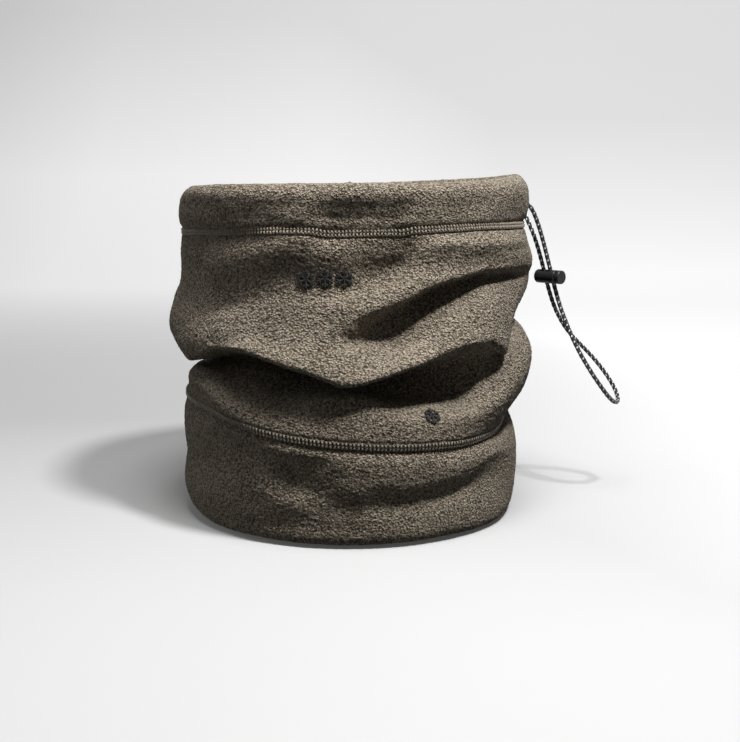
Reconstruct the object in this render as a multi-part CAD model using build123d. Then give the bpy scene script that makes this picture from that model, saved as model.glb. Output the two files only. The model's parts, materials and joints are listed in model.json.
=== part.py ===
from build123d import *
import math
import os

# Neck gaiter of heavy fleece, standing slumped on a flat surface, with an elastic drawcord in its top band
# and a two-hole barrel cord lock. Millimetres, +Z up, origin on the axis in the plane of the bottom hem.
# Azimuths are degrees seen from above: 0 is the front (-Y), 90 is the wearer's side with the cord (+X), 180 the back.

# Driving dimensions
TOTAL_HEIGHT = 160.0      # slumped height, floor to the crest of the top band
TOP_SEAM_Z = 142.5        # seam between the main panel and the top band
LOW_SEAM_Z = 46.0         # seam between the bottom band and the main panel
BAND_RADIUS = 84.5        # outside of the top band
NECK_RADIUS = 77.0        # inside of the top band
CLOTH = 2.8               # one layer of fleece
CORD_RADIUS = 1.05        # elastic shock cord
CHANNEL_Z = 151.0         # height of the cord in the top band
EYELET_AZIMUTHS = {"front": 97.0, "rear": 105.0}
EYELET_SHANK, EYELET_BORE = 2.1, 1.5      # radii
EYELET_LIP, EYELET_RIM = 3.2, 0.5         # radius and thickness of the rim
SEAM_AZIMUTH = 180.0      # where each panel is joined into a tube
BASE = (Align.CENTER, Align.CENTER, Align.MIN)   # cylinders stand on their own base

# Main panel: outer face from the lower seam up, as (radius, height); the first and last runs are straight
PANEL_FOOT = (80.6, LOW_SEAM_Z)
PANEL_FOOT_END = (83.2, 53.0)
PANEL_FOLDS = [(81.0, 60.0), (78.2, 66.0), (82.5, 72.5), (88.0, 80.5), (87.6, 90.0),
               (85.0, 100.0), (84.6, 112.0), (85.4, 124.0)]
PANEL_HEAD_START = (83.4, 134.0)
PANEL_HEAD = (81.6, TOP_SEAM_Z)

# Sewing threads
THREAD_RADIUS = 0.3
ROW_PITCH = 2.3           # between the needle rows of a coverstitch
ROW_COUNT = 3
FIRST_ROW = 1.2           # from the seam to the nearest row
THREAD_FILM = 0.3         # thickness of the thread that lies between the rows
JOIN_WIDTH = 4.5          # of the flat-lock seam that joins each panel into a tube

# Cord lock: axis, centre and sizes. The cord's two strands pass through two slots side by side.
LOCK_AXIS = Vector(0.682, -0.731, 0)
STRAND_SPACING = 4.3
STRAND_TOP = Vector(98.9, 14.2, 129.4)
STRAND_BOTTOM = Vector(106.49, 15.81, 101.4)
LOCK_HEIGHT = 112.4
LOCK_RADIUS = 3.5
BARREL_START, BARREL_END = -8.3, 4.3
BARREL_FLOOR = 0.9
STEM_RADIUS = 2.5
STEM_START = -5.0
STEM_FIT = 0.08           # radial running clearance of the stem in the barrel
BUTTON_TRAVEL = 1.2
BUTTON_LENGTH = 2.2
SLOT_LENGTH, SLOT_WIDTH = 3.6, 2.9
STRAND_MIDDLE = -0.9      # the strands' middle, along the axis from the lock's centre
SPRING_RADIUS, SPRING_WIRE = 1.85, 0.15

# Free cord: from the front eyelet through the lock, round the loop and back to the rear eyelet
CORD_ROUTE = [
    (85.8, 10.5, 151.2), (90.6, 11.2, 149.6), (94.6, 12.6, 142.0), (98.9, 14.2, 129.4),
    (106.49, 15.81, 101.4), (110.9, 11.6, 88.6), (115.5, 5.6, 77.0), (121.3, 2.6, 66.7),
    (128.2, 3.4, 56.8), (134.2, 7.6, 49.6), (138.2, 12.6, 47.0), (140.2, 17.6, 48.2),
    (139.4, 22.2, 52.8), (135.5, 25.2, 59.6), (129.5, 26.6, 67.4), (122.4, 26.0, 74.8),
    (115.2, 23.9, 81.6), (109.2, 21.2, 89.8), (103.56, 18.95, 101.4), (95.97, 17.34, 129.4),
    (90.5, 20.6, 142.6), (87.2, 22.0, 148.2), (83.5, 22.4, 150.8),
]


def turned(face, start, end):
    """A section in the XZ plane turned about Z from one azimuth to another."""
    return Rot(0, 0, start - 90) * revolve(face, Axis.Z, end - start)


def ring(section):
    """A section in the XZ plane turned the whole way round Z."""
    return revolve(section, Axis.Z, 360)


def section(sketch):
    """A sketch drawn as (radius, height), placed in the XZ plane."""
    return Plane.XZ * sketch


def panel_layer(low, high):
    """Section of a layer that follows the main panel, from low to high millimetres outside its outer face."""
    outer, inner = [
        Polyline((PANEL_FOOT[0] + out, PANEL_FOOT[1]), (PANEL_FOOT_END[0] + out, PANEL_FOOT_END[1]))
        + Spline([(r + out, z) for r, z in [PANEL_FOOT_END, *PANEL_FOLDS, PANEL_HEAD_START]])
        + Polyline((PANEL_HEAD_START[0] + out, PANEL_HEAD_START[1]), (PANEL_HEAD[0] + out, PANEL_HEAD[1]))
        for out in (high, low)
    ]
    top = Line((PANEL_HEAD[0] + low, PANEL_HEAD[1]), (PANEL_HEAD[0] + high, PANEL_HEAD[1]))
    bottom = Line((PANEL_FOOT[0] + low, PANEL_FOOT[1]), (PANEL_FOOT[0] + high, PANEL_FOOT[1]))
    return section(make_face(outer.edges() + inner.edges() + [top, bottom]))


def radial_plane(azimuth, radius, height):
    """A plane whose normal points straight out of the gaiter."""
    angle = math.radians(azimuth)
    outward = Vector(math.sin(angle), -math.cos(angle), 0)
    return Plane(origin=outward * radius + Vector(0, 0, height), z_dir=outward, x_dir=(-outward.Y, outward.X, 0))


def top_band():
    """Double layer folded over at the crest, hollow for the cord, with a hole for each eyelet."""
    width, height = BAND_RADIUS - NECK_RADIUS, TOTAL_HEIGHT - TOP_SEAM_Z
    middle = (BAND_RADIUS + NECK_RADIUS) / 2
    outline = Pos(middle, TOP_SEAM_Z + height / 2) * Rectangle(width, height)
    crest = outline.vertices().group_by(Axis.Y)[-1]
    outline = fillet(crest, 3.2)
    channel = Pos(middle, CHANNEL_Z) * RectangleRounded(width - 2 * 2.2, 12.5, 1.4)
    band = ring(section(outline - channel))
    for azimuth in EYELET_AZIMUTHS.values():
        band -= radial_plane(azimuth, middle, CHANNEL_Z) * Cylinder(EYELET_SHANK, 12, align=BASE)
    return band


def main_panel():
    """Single layer that carries the slumped folds."""
    return ring(panel_layer(-CLOTH, 0))


def bottom_band():
    """Double layer folded at the foot, with a slit between its layers that opens under the main panel."""
    inside, foot = 75.4, 3.6
    outer = Spline([PANEL_FOOT, (83.2, 37.0), (83.8, 24.0), (83.5, 12.0), (82.4, foot)])
    hem = ThreePointArc((82.4, foot), (81.7, 1.1), (79.8, 0))
    sole = Line((79.8, 0), (78.2, 0))
    curl = ThreePointArc((78.2, 0), (76.2, 1.0), (inside, foot))
    wall = Line((inside, foot), (inside, LOW_SEAM_Z))
    top = Line((inside, LOW_SEAM_Z), PANEL_FOOT)
    slit = Pos(78.9, 4 + LOW_SEAM_Z / 2) * RectangleRounded(1.2, LOW_SEAM_Z, 0.5)
    return ring(section(make_face([outer, hem, sole, curl, wall, top]) - slit))


def row_points(seam, other):
    """Where the needle rows lie on a straight run of the panel that starts at a seam."""
    length = math.dist(seam, other)
    along = [(FIRST_ROW + ROW_PITCH * row) / length for row in range(ROW_COUNT)]
    return [(seam[0] + (other[0] - seam[0]) * t, seam[1] + (other[1] - seam[1]) * t) for t in along]


def needle_threads(seam, other):
    """The rows of needle thread, one closed ring each."""
    lift = THREAD_RADIUS * math.dist(seam, other) / abs(other[1] - seam[1]) + 0.02
    rows = [Pos(0, 0, z) * Torus(r + lift, THREAD_RADIUS) for r, z in row_points(seam, other)]
    return Compound(children=rows)


def laid_threads(seam, other, out):
    """The thread that runs to and fro between the rows, as one thin ribbon in each gap."""
    ribbons = []
    points = row_points(seam, other)
    for (r0, z0), (r1, z1) in zip(points, points[1:]):
        gap = THREAD_RADIUS / ROW_PITCH * 1.2
        a = (r0 + (r1 - r0) * gap + out, z0 + (z1 - z0) * gap)
        b = (r1 + (r0 - r1) * gap + out, z1 + (z0 - z1) * gap)
        corners = [a, b, (b[0] + THREAD_FILM, b[1]), (a[0] + THREAD_FILM, a[1])]
        ribbons.append(ring(section(make_face(Polyline(*corners, close=True)))))
    return Compound(children=ribbons)


def join_thread(face):
    """Flat-lock thread over the vertical join of a panel, as a strip on its outside."""
    half = math.degrees(JOIN_WIDTH / 2 / BAND_RADIUS)
    return turned(face, SEAM_AZIMUTH - half, SEAM_AZIMUTH + half)


def strip(radius, low, high):
    """Section of an upright strip of thread at a radius."""
    return section(Pos(radius + THREAD_FILM / 2, (low + high) / 2) * Rectangle(THREAD_FILM, high - low))


def snow_crystal(azimuth, height, size, bar):
    """Six-armed embroidered crystal that lies on the main panel."""
    arms = [Rot(0, 0, 60 * turn) * Box(size, bar, 30) for turn in range(3)]
    star = radial_plane(azimuth, 84, height) * (arms[0] + arms[1:])
    return star & turned(panel_layer(0.05, 0.55), azimuth - 8, azimuth + 8)


def eyelet(azimuth):
    """Thread-bound eyelet: a shank through the outer layer and a flat rim outside it."""
    place = radial_plane(azimuth, BAND_RADIUS, CHANNEL_Z)
    shank = Pos(0, 0, -2.1) * Cylinder(EYELET_SHANK, 2.1, align=BASE)
    rim = Cylinder(EYELET_LIP, EYELET_RIM, align=BASE)
    bore = Pos(0, 0, -3) * Cylinder(EYELET_BORE, 6, align=BASE)
    return place * (shank + rim - bore)


def channel_cord():
    """Both ends of the cord in the top band, from the eyelets to the join at the back."""
    middle = (BAND_RADIUS + NECK_RADIUS) / 2
    gap = 0.4
    cross = section(Pos(middle, CHANNEL_Z) * Circle(CORD_RADIUS))
    spans = {"front": (SEAM_AZIMUTH - 360 + gap, EYELET_AZIMUTHS["front"]),
             "rear": (EYELET_AZIMUTHS["rear"], SEAM_AZIMUTH - gap)}
    ends = []
    for side, (start, end) in spans.items():
        place = radial_plane(EYELET_AZIMUTHS[side], middle, CHANNEL_Z)
        stub = Sphere(CORD_RADIUS) + Cylinder(CORD_RADIUS, BAND_RADIUS - middle, align=BASE)
        ends.append(turned(cross, start, end) + place * stub)
    return Compound(children=ends)


def end_tack():
    """Bar of stitches that holds the cord's two ends at the back join."""
    middle = (BAND_RADIUS + NECK_RADIUS) / 2
    sleeve = Pos(middle, CHANNEL_Z) * (Circle(CORD_RADIUS + 0.4) - Circle(CORD_RADIUS))
    return turned(section(sleeve), SEAM_AZIMUTH - 2.5, SEAM_AZIMUTH + 2.5)


def corner_radii(points):
    """The largest arc that each corner's two runs allow."""
    radii = []
    for a, b, c in zip(points, points[1:], points[2:]):
        turn = math.radians((b - a).get_angle(c - b))
        radii.append(0.45 * min((b - a).length, (c - b).length) / math.tan(turn / 2))
    return radii


def free_cord():
    """The cord outside the band, with round ends where it hinges at the eyelets."""
    points = [Vector(*p) for p in CORD_ROUTE]
    radii = corner_radii(points)
    path = FilletPolyline(*points, radius=radii)
    tube = sweep(Plane(origin=path @ 0, z_dir=path % 0) * Circle(CORD_RADIUS), path=path)
    print("cord radii", [round(r, 1) for r in radii])
    print("cord length", round(path.length, 1),
          "volume ratio", round(tube.volume / (math.pi * CORD_RADIUS**2 * path.length), 4))
    return tube + [Pos(*points[0]) * Sphere(CORD_RADIUS), Pos(*points[-1]) * Sphere(CORD_RADIUS)]


def strand_direction():
    """Unit vector down the straight stretch of the strands."""
    return (STRAND_BOTTOM - STRAND_TOP).normalized()


def front_strand_at(height):
    """The point of the front strand at a height."""
    run = STRAND_BOTTOM - STRAND_TOP
    return STRAND_TOP + run * ((height - STRAND_TOP.Z) / run.Z)


def lock_plane():
    """The lock's own frame: X along the barrel towards the button, Z up."""
    middle = front_strand_at(LOCK_HEIGHT) - LOCK_AXIS * (STRAND_SPACING / 2)
    return Plane(origin=middle - LOCK_AXIS * STRAND_MIDDLE, x_dir=LOCK_AXIS, z_dir=(0, 0, 1))


def along(radius, start, end):
    """A cylinder along the lock's own X axis."""
    return Pos(start, 0, 0) * Rot(0, 90, 0) * Cylinder(radius, end - start, align=BASE)


def strand_slots(shift):
    """The two slots for the strands, their centres moved along the barrel by shift from the strands."""
    slots = []
    for strand in (0, -STRAND_SPACING):
        centre = front_strand_at(LOCK_HEIGHT) + LOCK_AXIS * (strand + shift)
        place = Plane(origin=centre, x_dir=LOCK_AXIS, z_dir=strand_direction())
        slots.append(extrude(place * SlotOverall(SLOT_LENGTH, SLOT_WIDTH), 9, both=True))
    return slots


def lock_barrel():
    """Barrel with a closed end, a bore for the plunger and two slots."""
    body = along(LOCK_RADIUS, BARREL_START, BARREL_END)
    body = fillet(body.edges().filter_by(GeomType.CIRCLE).sort_by(Axis.X)[0], 1.1)
    body = fillet(body.edges().filter_by(GeomType.CIRCLE).sort_by(Axis.X)[-1], 0.3)
    body -= along(STEM_RADIUS + STEM_FIT, BARREL_START + BARREL_FLOOR, BARREL_END + 1)
    return lock_plane() * body - strand_slots(-BUTTON_TRAVEL / 2)


def lock_plunger():
    """Plunger stem with its two slots and the button that is pressed."""
    cap_start = BARREL_END + BUTTON_TRAVEL
    cap = along(LOCK_RADIUS, cap_start, cap_start + BUTTON_LENGTH)
    cap = fillet(cap.edges().filter_by(GeomType.CIRCLE).sort_by(Axis.X)[-1], 0.7)
    stem = along(STEM_RADIUS, STEM_START, cap_start)
    return lock_plane() * (stem + cap) - strand_slots(BUTTON_TRAVEL / 2)


def lock_spring():
    """Compression spring between the barrel's closed end and the stem."""
    start = BARREL_START + BARREL_FLOOR + SPRING_WIRE + 0.02
    height = STEM_START - SPRING_WIRE - 0.02 - start
    coil = Helix(pitch=0.62, height=height, radius=SPRING_RADIUS)
    wire = sweep(Plane(origin=coil @ 0, z_dir=coil % 0) * Circle(SPRING_WIRE), path=coil, is_frenet=True)
    return lock_plane() * (Pos(start, 0, 0) * Rot(0, 90, 0) * wire)


def care_label():
    """Blank label sewn inside the main panel at the back join."""
    width, top, drop = 26.0, TOP_SEAM_Z - 8.5, 30.0
    radius = PANEL_HEAD_START[0] - CLOTH - 0.3
    half = math.degrees(width / 2 / radius)
    face = section(Pos(radius, top - drop / 2) * Rectangle(0.3, drop))
    return turned(face, SEAM_AZIMUTH - half, SEAM_AZIMUTH + half)


TOP_RUN = (PANEL_HEAD, PANEL_HEAD_START)
LOW_RUN = (PANEL_FOOT, PANEL_FOOT_END)
NODES = {
    "top_band": top_band(),
    "main_panel": main_panel(),
    "bottom_band": bottom_band(),
    "top_needle_threads": needle_threads(*TOP_RUN),
    "top_cover_thread": laid_threads(*TOP_RUN, out=0.05),
    "top_looper_thread": laid_threads(*TOP_RUN, out=-CLOTH - THREAD_FILM - 0.05),
    "low_needle_threads": needle_threads(*LOW_RUN),
    "low_cover_thread": laid_threads(*LOW_RUN, out=0.05),
    "low_looper_thread": laid_threads(*LOW_RUN, out=-CLOTH - THREAD_FILM - 0.05),
    "top_band_join_thread": join_thread(strip(BAND_RADIUS + 0.05, TOP_SEAM_Z + 0.5, TOTAL_HEIGHT - 3.4)),
    "main_panel_join_thread": join_thread(panel_layer(0.7, 1.0)),
    "bottom_band_join_thread": join_thread(strip(83.9, 8.0, 36.0)),
    "eyelet_front": eyelet(EYELET_AZIMUTHS["front"]),
    "eyelet_rear": eyelet(EYELET_AZIMUTHS["rear"]),
    "drawcord_in_channel": channel_cord(),
    "drawcord_end_tack": end_tack(),
    "drawcord_loop": free_cord(),
    "cord_lock_barrel": lock_barrel(),
    "cord_lock_plunger": lock_plunger(),
    "cord_lock_spring": lock_spring(),
    "care_label": care_label(),
    "upper_embroidery": Compound(children=[snow_crystal(a, 120, 7.0, 1.0) for a in (-13, -7.5, -2)]),
    "lower_embroidery": snow_crystal(25, 65, 7.0, 1.0),
}

os.makedirs("parts", exist_ok=True)
for name, shape in NODES.items():
    export_step(shape, f"parts/{name}.step")
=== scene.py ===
"""Neck gaiter of heavy fleece, slumped on a pale floor, with an elastic drawcord and a barrel cord lock.

Metres, +Z up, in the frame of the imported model. Azimuths are degrees seen from above: 0 is the front (-Y),
90 the side with the cord (+X), 180 the back. Tables of folds hold millimetres.
"""

import json
import math

import bpy
import numpy as np
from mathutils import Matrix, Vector


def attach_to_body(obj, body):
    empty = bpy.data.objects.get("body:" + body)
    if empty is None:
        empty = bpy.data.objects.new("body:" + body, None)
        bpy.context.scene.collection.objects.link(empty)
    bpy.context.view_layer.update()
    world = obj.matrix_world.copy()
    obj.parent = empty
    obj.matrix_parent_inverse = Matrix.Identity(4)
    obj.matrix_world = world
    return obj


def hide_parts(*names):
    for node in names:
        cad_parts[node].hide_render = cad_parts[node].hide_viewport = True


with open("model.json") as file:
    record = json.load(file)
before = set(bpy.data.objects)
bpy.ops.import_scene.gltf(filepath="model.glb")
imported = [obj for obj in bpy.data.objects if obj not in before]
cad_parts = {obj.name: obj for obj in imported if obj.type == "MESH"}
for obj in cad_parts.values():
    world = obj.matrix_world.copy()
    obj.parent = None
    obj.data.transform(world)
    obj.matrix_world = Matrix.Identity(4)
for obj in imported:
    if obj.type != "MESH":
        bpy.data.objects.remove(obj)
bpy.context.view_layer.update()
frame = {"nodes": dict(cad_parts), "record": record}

MM = 0.001
SCENE = bpy.context.scene


# ------------------------------------------------------------ points and curves

def azimuth_vector(azimuth):
    """Unit vector that points straight out at an azimuth in degrees."""
    angle = math.radians(azimuth)
    return np.array([math.sin(angle), -math.cos(angle), 0.0])


def unit(vectors):
    """Vectors (..., 3) brought to length 1."""
    return vectors / np.maximum(np.linalg.norm(vectors, axis=-1, keepdims=True), 1e-12)


def pad(values):
    """A list of values with its first and last repeated."""
    return np.concatenate([values[:1], values, values[-1:]])


def run_lengths(points):
    """Distance along lines of points (..., count, 3 or 2) from each line's first point."""
    steps = np.linalg.norm(np.diff(points, axis=-2), axis=-1)
    return np.concatenate([np.zeros_like(steps[..., :1]), np.cumsum(steps, axis=-1)], axis=-1)


def interpolate(at, run, values):
    """Values (n, k), known at distances run, read at other distances."""
    return np.stack([np.interp(at, run, column) for column in values.T], axis=1)


def hermite(t, step, start, end, start_slope, end_slope):
    """Cubic from start to end as t goes from 0 to 1 over a step, with a slope at each end."""
    return ((2 * t**3 - 3 * t**2 + 1) * start + (t**3 - 2 * t**2 + t) * step * start_slope
            + (-2 * t**3 + 3 * t**2) * end + (t**3 - t**2) * step * end_slope)


def hash_grid(ix, iy, iz, seed):
    """Repeatable numbers from -1 to 1 for integer lattice points."""
    h = (ix * 374761393 + iy * 668265263 + iz * 2147483647 + seed * 974634777) & 0xFFFFFFFF
    h = ((h ^ (h >> 13)) * 1274126177) & 0xFFFFFFFF
    h = (h ^ (h >> 16)) & 0xFFFFFF
    return h / 8388607.5 - 1.0


def noise(points, size, seed=0):
    """Smooth noise from -1 to 1 at points (n, 3), in metres, with lumps about size across."""
    p = points / size + 1000.0
    cell = np.floor(p).astype(np.int64)
    f = p - cell
    f = f * f * f * (f * (f * 6 - 15) + 10)
    total = np.zeros(len(p))
    for corner in np.ndindex(2, 2, 2):
        weight = np.prod(np.where(corner, f, 1 - f), axis=1)
        total += weight * hash_grid(*(cell + corner).T, seed)
    return total


def pad_ends(slopes, inner):
    """Slopes at the knots of a curve: those between its runs, and its first and last run's own."""
    return np.concatenate([slopes[:1], inner, slopes[-1:]])


def round_azimuth(keys, azimuths):
    """A smooth closed curve through (azimuth, value, ...) keys, at each azimuth."""
    keys = np.array(sorted(keys), float)
    a, v = keys[:, 0], keys[:, 1:]
    a = np.concatenate([a[-3:] - 360, a, a[:3] + 360])
    v = np.concatenate([v[-3:], v, v[:3]])
    h = np.diff(a)[:, None]
    slope = np.diff(v, axis=0) / h
    before, after = slope[:-1], slope[1:]
    same = before * after > 0
    w1, w2 = 2 * h[1:] + h[:-1], h[1:] + 2 * h[:-1]
    mean = (w1 + w2) / (w1 / np.where(same, before, 1.0) + w2 / np.where(same, after, 1.0))
    tangent = pad_ends(slope, np.where(same, mean, 0.0))
    x = (np.asarray(azimuths, float) + 180) % 360 - 180
    i = np.clip(np.searchsorted(a, x, side="right") - 1, 0, len(a) - 2)
    step = (a[i + 1] - a[i])[:, None]
    return hermite((x - a[i])[:, None] / step, step, v[i], v[i + 1], tangent[i], tangent[i + 1])


def loft(rows, azimuths, count):
    """Profiles through the rows' (radius, height) keys, as (azimuths, count, 2) at even arc length."""
    knots = np.stack([round_azimuth(row, azimuths) for row in rows])
    gaps = np.sqrt(np.linalg.norm(np.diff(knots, axis=0), axis=-1, keepdims=True)) + 1e-6
    slopes = np.diff(knots, axis=0) / gaps
    tangent = pad_ends(slopes, (slopes[:-1] * gaps[1:] + slopes[1:] * gaps[:-1]) / (gaps[:-1] + gaps[1:]))
    fine_steps = 24
    fine = [hermite(j / fine_steps, gaps[i], knots[i], knots[i + 1], tangent[i], tangent[i + 1])
            for i in range(len(rows) - 1) for j in range(fine_steps)]
    fine = np.stack([*fine, knots[-1]], axis=1)
    share = np.linspace(0, 1, count)
    return np.stack([interpolate(share * run[-1], run, profile)
                     for run, profile in zip(run_lengths(fine), fine)])


def around(profile, azimuths):
    """(azimuths, count, 2) profiles in millimetres as points in metres."""
    angle = np.radians(azimuths)[:, None]
    r, z = profile[..., 0] * MM, profile[..., 1] * MM
    return np.stack([r * np.sin(angle), -r * np.cos(angle), z], axis=-1)


def grid_normals(points):
    """Outward unit normals of a grid of points (round, along, 3) that closes round its first direction."""
    round_way = np.roll(points, -1, axis=0) - np.roll(points, 1, axis=0)
    return unit(np.cross(np.gradient(points, axis=1), round_way))


def smooth_grid(values, passes):
    """Repeated averaging of each grid point with its neighbours, which keeps the first and last rows."""
    for _ in range(passes):
        values = (np.roll(values, 1, axis=0) + np.roll(values, -1, axis=0) + 2 * values) / 4
        inner = (values[:, :-2] + values[:, 2:] + 2 * values[:, 1:-1]) / 4
        values = np.concatenate([values[:, :1], inner, values[:, -1:]], axis=1)
    return values


# ------------------------------------------------------------ objects

def link(name, data):
    """A new object in the scene."""
    made = bpy.data.objects.new(name, data)
    SCENE.collection.objects.link(made)
    return made


def new_object(name, vertices, faces, material, attributes=None):
    """A smooth mesh object from points (n, 3) and faces, with a number per point for each attribute."""
    mesh = bpy.data.meshes.new(name)
    mesh.from_pydata(np.asarray(vertices, float).tolist(), [], faces)
    mesh.polygons.foreach_set("use_smooth", [True] * len(mesh.polygons))
    for key, values in (attributes or {}).items():
        layer = mesh.attributes.new(key, "FLOAT", "POINT")
        layer.data.foreach_set("value", np.asarray(values, np.float32))
    mesh.materials.append(material)
    mesh.update()
    return link(name, mesh)


def attach(piece, node=None, body="gaiter"):
    """Hides the CAD node that a piece stands for, if one is given, and puts the piece under its body."""
    if node:
        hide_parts(node)
    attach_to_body(piece, body)
    return piece


def ring_faces(n, m):
    """Quads of an n by m grid that closes round its first direction."""
    a = np.arange(n * m).reshape(n, m)[:, :-1]
    b = np.roll(a, -1, axis=0)
    return np.stack([a, a + 1, b + 1, b], axis=-1).reshape(-1, 4)


class Strands:
    """Collects many short tubes, such as stitches, into one mesh."""

    def __init__(self):
        self.vertices = []
        self.faces = []
        self.count = 0

    def tube(self, path, radius, sides=6, flat=1.0, up=(0.0, 0.0, 1.0)):
        """A tube with rounded ends along a path, flattened along up, which is one vector or one per point."""
        path, up = np.asarray(path, float), np.asarray(up, float)
        tangent = unit(np.gradient(path, axis=0))
        reach = tangent[[0, -1]] * 0.7 * radius
        path = np.vstack([path[0] - reach[0], path, path[-1] + reach[1]])
        radii = np.full(len(path), float(radius))
        radii[[0, -1]] *= 0.45
        tangent = pad(tangent)
        side = np.cross(tangent, pad(up) if up.ndim == 2 else up)
        weak = np.linalg.norm(side, axis=1) < 1e-6
        side[weak] = np.cross(tangent[weak], [1.0, 0.0, 0.0])
        side = unit(side)
        rise = np.cross(side, tangent)
        turn = np.linspace(0, 2 * math.pi, sides, endpoint=False)[:, None]
        ring = (np.cos(turn) * side[:, None] + np.sin(turn) * rise[:, None] * flat) * radii[:, None, None]
        self.vertices.append((path[:, None] + ring).reshape(-1, 3))
        index = self.count + np.arange(len(path) * sides).reshape(-1, sides)
        ahead = np.roll(index, -1, axis=1)
        walls = np.stack([index[:-1], ahead[:-1], ahead[1:], index[1:]], axis=-1).reshape(-1, 4)
        self.faces += [*walls.tolist(), index[0, ::-1].tolist(), index[-1].tolist()]
        self.count += index.size

    def object(self, name, material, attributes=None):
        """The tubes so far as one object."""
        return new_object(name, np.vstack(self.vertices), self.faces, material, attributes)


# ------------------------------------------------------------ camera

def look_along(obj, direction):
    """Turns a camera or light so that it looks along a direction."""
    obj.rotation_mode = "QUATERNION"
    obj.rotation_quaternion = Vector(direction).to_track_quat("-Z", "Y")


camera = link("camera", bpy.data.cameras.new("camera"))
camera.data.lens = 59.4
camera.data.sensor_width = 36.0
camera.location = (0.0, -0.610, 0.165)
CAMERA_PITCH, CAMERA_TURN = math.radians(9.2), math.radians(0.94)
look_along(camera, (math.sin(CAMERA_TURN) * math.cos(CAMERA_PITCH),
                    math.cos(CAMERA_TURN) * math.cos(CAMERA_PITCH), -math.sin(CAMERA_PITCH)))
SCENE.camera = camera


# ------------------------------------------------------------ materials

class Finish:
    """A material in the making: a Principled shader, and short ways to add nodes and join them."""

    def __init__(self, name):
        self.material = bpy.data.materials.new(name)
        self.material.use_nodes = True
        self.nodes = self.material.node_tree.nodes
        self.where = self.nodes.new("ShaderNodeTexCoord").outputs["Object"]

    def feed(self, inputs, values):
        """Links a socket, or sets a plain value, for each named or numbered input."""
        for key, value in values.items():
            if isinstance(value, bpy.types.NodeSocket):
                self.material.node_tree.links.new(value, inputs[key])
            else:
                inputs[key].default_value = value

    def node(self, kind, inputs, **settings):
        """A node of a kind, with sockets or values for its inputs."""
        made = self.nodes.new("ShaderNode" + kind)
        for key, value in settings.items():
            setattr(made, key, value)
        self.feed(made.inputs, inputs)
        return made

    def noise(self, scale, detail, roughness=0.5, output=0):
        return self.node("TexNoise", {"Vector": self.where, "Scale": scale, "Detail": detail,
                                      "Roughness": roughness}).outputs[output]

    def calculate(self, operation, a, b):
        return self.node("Math", {0: a, 1: b}, operation=operation).outputs[0]

    def total(self, *terms):
        """The sum of sockets, each times a factor."""
        scaled = [self.calculate("MULTIPLY", socket, factor) for socket, factor in terms]
        result = scaled[0]
        for term in scaled[1:]:
            result = self.calculate("ADD", result, term)
        return result

    def ramp(self, tone, *stops):
        """Colours from (position, (r, g, b)) stops, or greys from (position, number) stops."""
        made = self.node("ValToRGB", {0: tone})
        elements = made.color_ramp.elements
        while len(elements) < len(stops):
            elements.new(0.5)
        for element, (position, colour) in zip(elements, stops):
            element.position = position
            element.color = (*np.broadcast_to(colour, 3), 1)
        return made.outputs[0]

    def mix(self, factor, a, b, blend_type="MIX"):
        return self.node("Mix", {"Factor": factor, "A": a, "B": b}, data_type="RGBA",
                         blend_type=blend_type).outputs["Result"]

    def shade(self, height=None, distance=0.0, strength=1.0, **inputs):
        """Sets the shader's inputs, named with _ for a space, and its bump. Returns the finished material."""
        shader = self.nodes["Principled BSDF"].inputs
        self.feed(shader, {key.replace("_", " "): value for key, value in inputs.items()})
        if height is not None:
            bump = self.node("Bump", {"Height": height, "Distance": distance, "Strength": strength})
            self.feed(shader, {"Normal": bump.outputs["Normal"]})
        return self.material


def fleece_material(name, base, dark, light):
    """Brushed micro-fleece: matted tufts about a millimetre across, and a soft sheen. Its colour follows the
    tuft height: painted shade in the hollows between tufts, a painted highlight on their tips, and a coarse
    random mottle.
    """
    f = Finish(name)
    warp = f.noise(420.0, 2.0, output="Color")
    warped = f.node("VectorMath", {0: warp, 1: (0.0011,) * 3, 2: f.where},
                    operation="MULTIPLY_ADD").outputs[0]
    tufts, curls = [f.node("TexVoronoi", {"Vector": warped, "Scale": scale}).outputs["Distance"]
                    for scale in (980.0, 1750.0)]
    height = f.total((f.calculate("SUBTRACT", 1.0, tufts), 0.70), (f.calculate("SUBTRACT", 1.0, curls), 0.38),
                     (f.noise(560.0, 3.0, 0.6), 0.5))
    # tone: the tuft height, which paints shade in the hollows and a highlight on the tips, plus a random
    # mottle
    tone = f.total((height, 0.8), (f.noise(60.0, 3.0), 0.16))
    return f.shade(height, 0.0022, 1.0, Base_Color=f.ramp(tone, (0.50, dark), (0.70, base), (0.92, light)),
                   Roughness=0.93, Specular_IOR_Level=0.18, Diffuse_Roughness=0.6,
                   Sheen_Weight=0.14, Sheen_Roughness=0.55, Sheen_Tint=(0.9, 0.84, 0.74, 1))


def thread_material(name, dark, light, sheen=0.2, roughness=0.62):
    """Twisted thread with fine ply lines and small changes of tone from stitch to stitch."""
    f = Finish(name)
    ply = f.noise(4200.0, 2.0, 0.6)
    tone = f.total((ply, 0.6), (f.noise(504.0, 1.0), 0.4))
    return f.shade(ply, 0.00012, 0.7, Base_Color=f.ramp(tone, (0.35, dark), (0.65, light)),
                   Roughness=roughness, Sheen_Weight=sheen, Sheen_Roughness=0.4)


def cord_material():
    """Braided cover: black yarn, with pale tracer yarn where the strand says so."""
    f = Finish("shock_cord_cover")
    fleck = f.node("Attribute", {}, attribute_name="fleck").outputs["Fac"]
    yarn = f.noise(7000.0, 1.0)
    black = f.ramp(yarn, (0.3, (0.004, 0.004, 0.005)), (0.7, (0.012, 0.012, 0.015)))
    pale = f.ramp(yarn, (0.3, (0.62, 0.63, 0.65)), (0.7, (0.86, 0.87, 0.88)))
    return f.shade(yarn, 0.00008, 0.6, Base_Color=f.mix(fleck, black, pale), Roughness=0.55,
                   Sheen_Weight=0.15)


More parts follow.
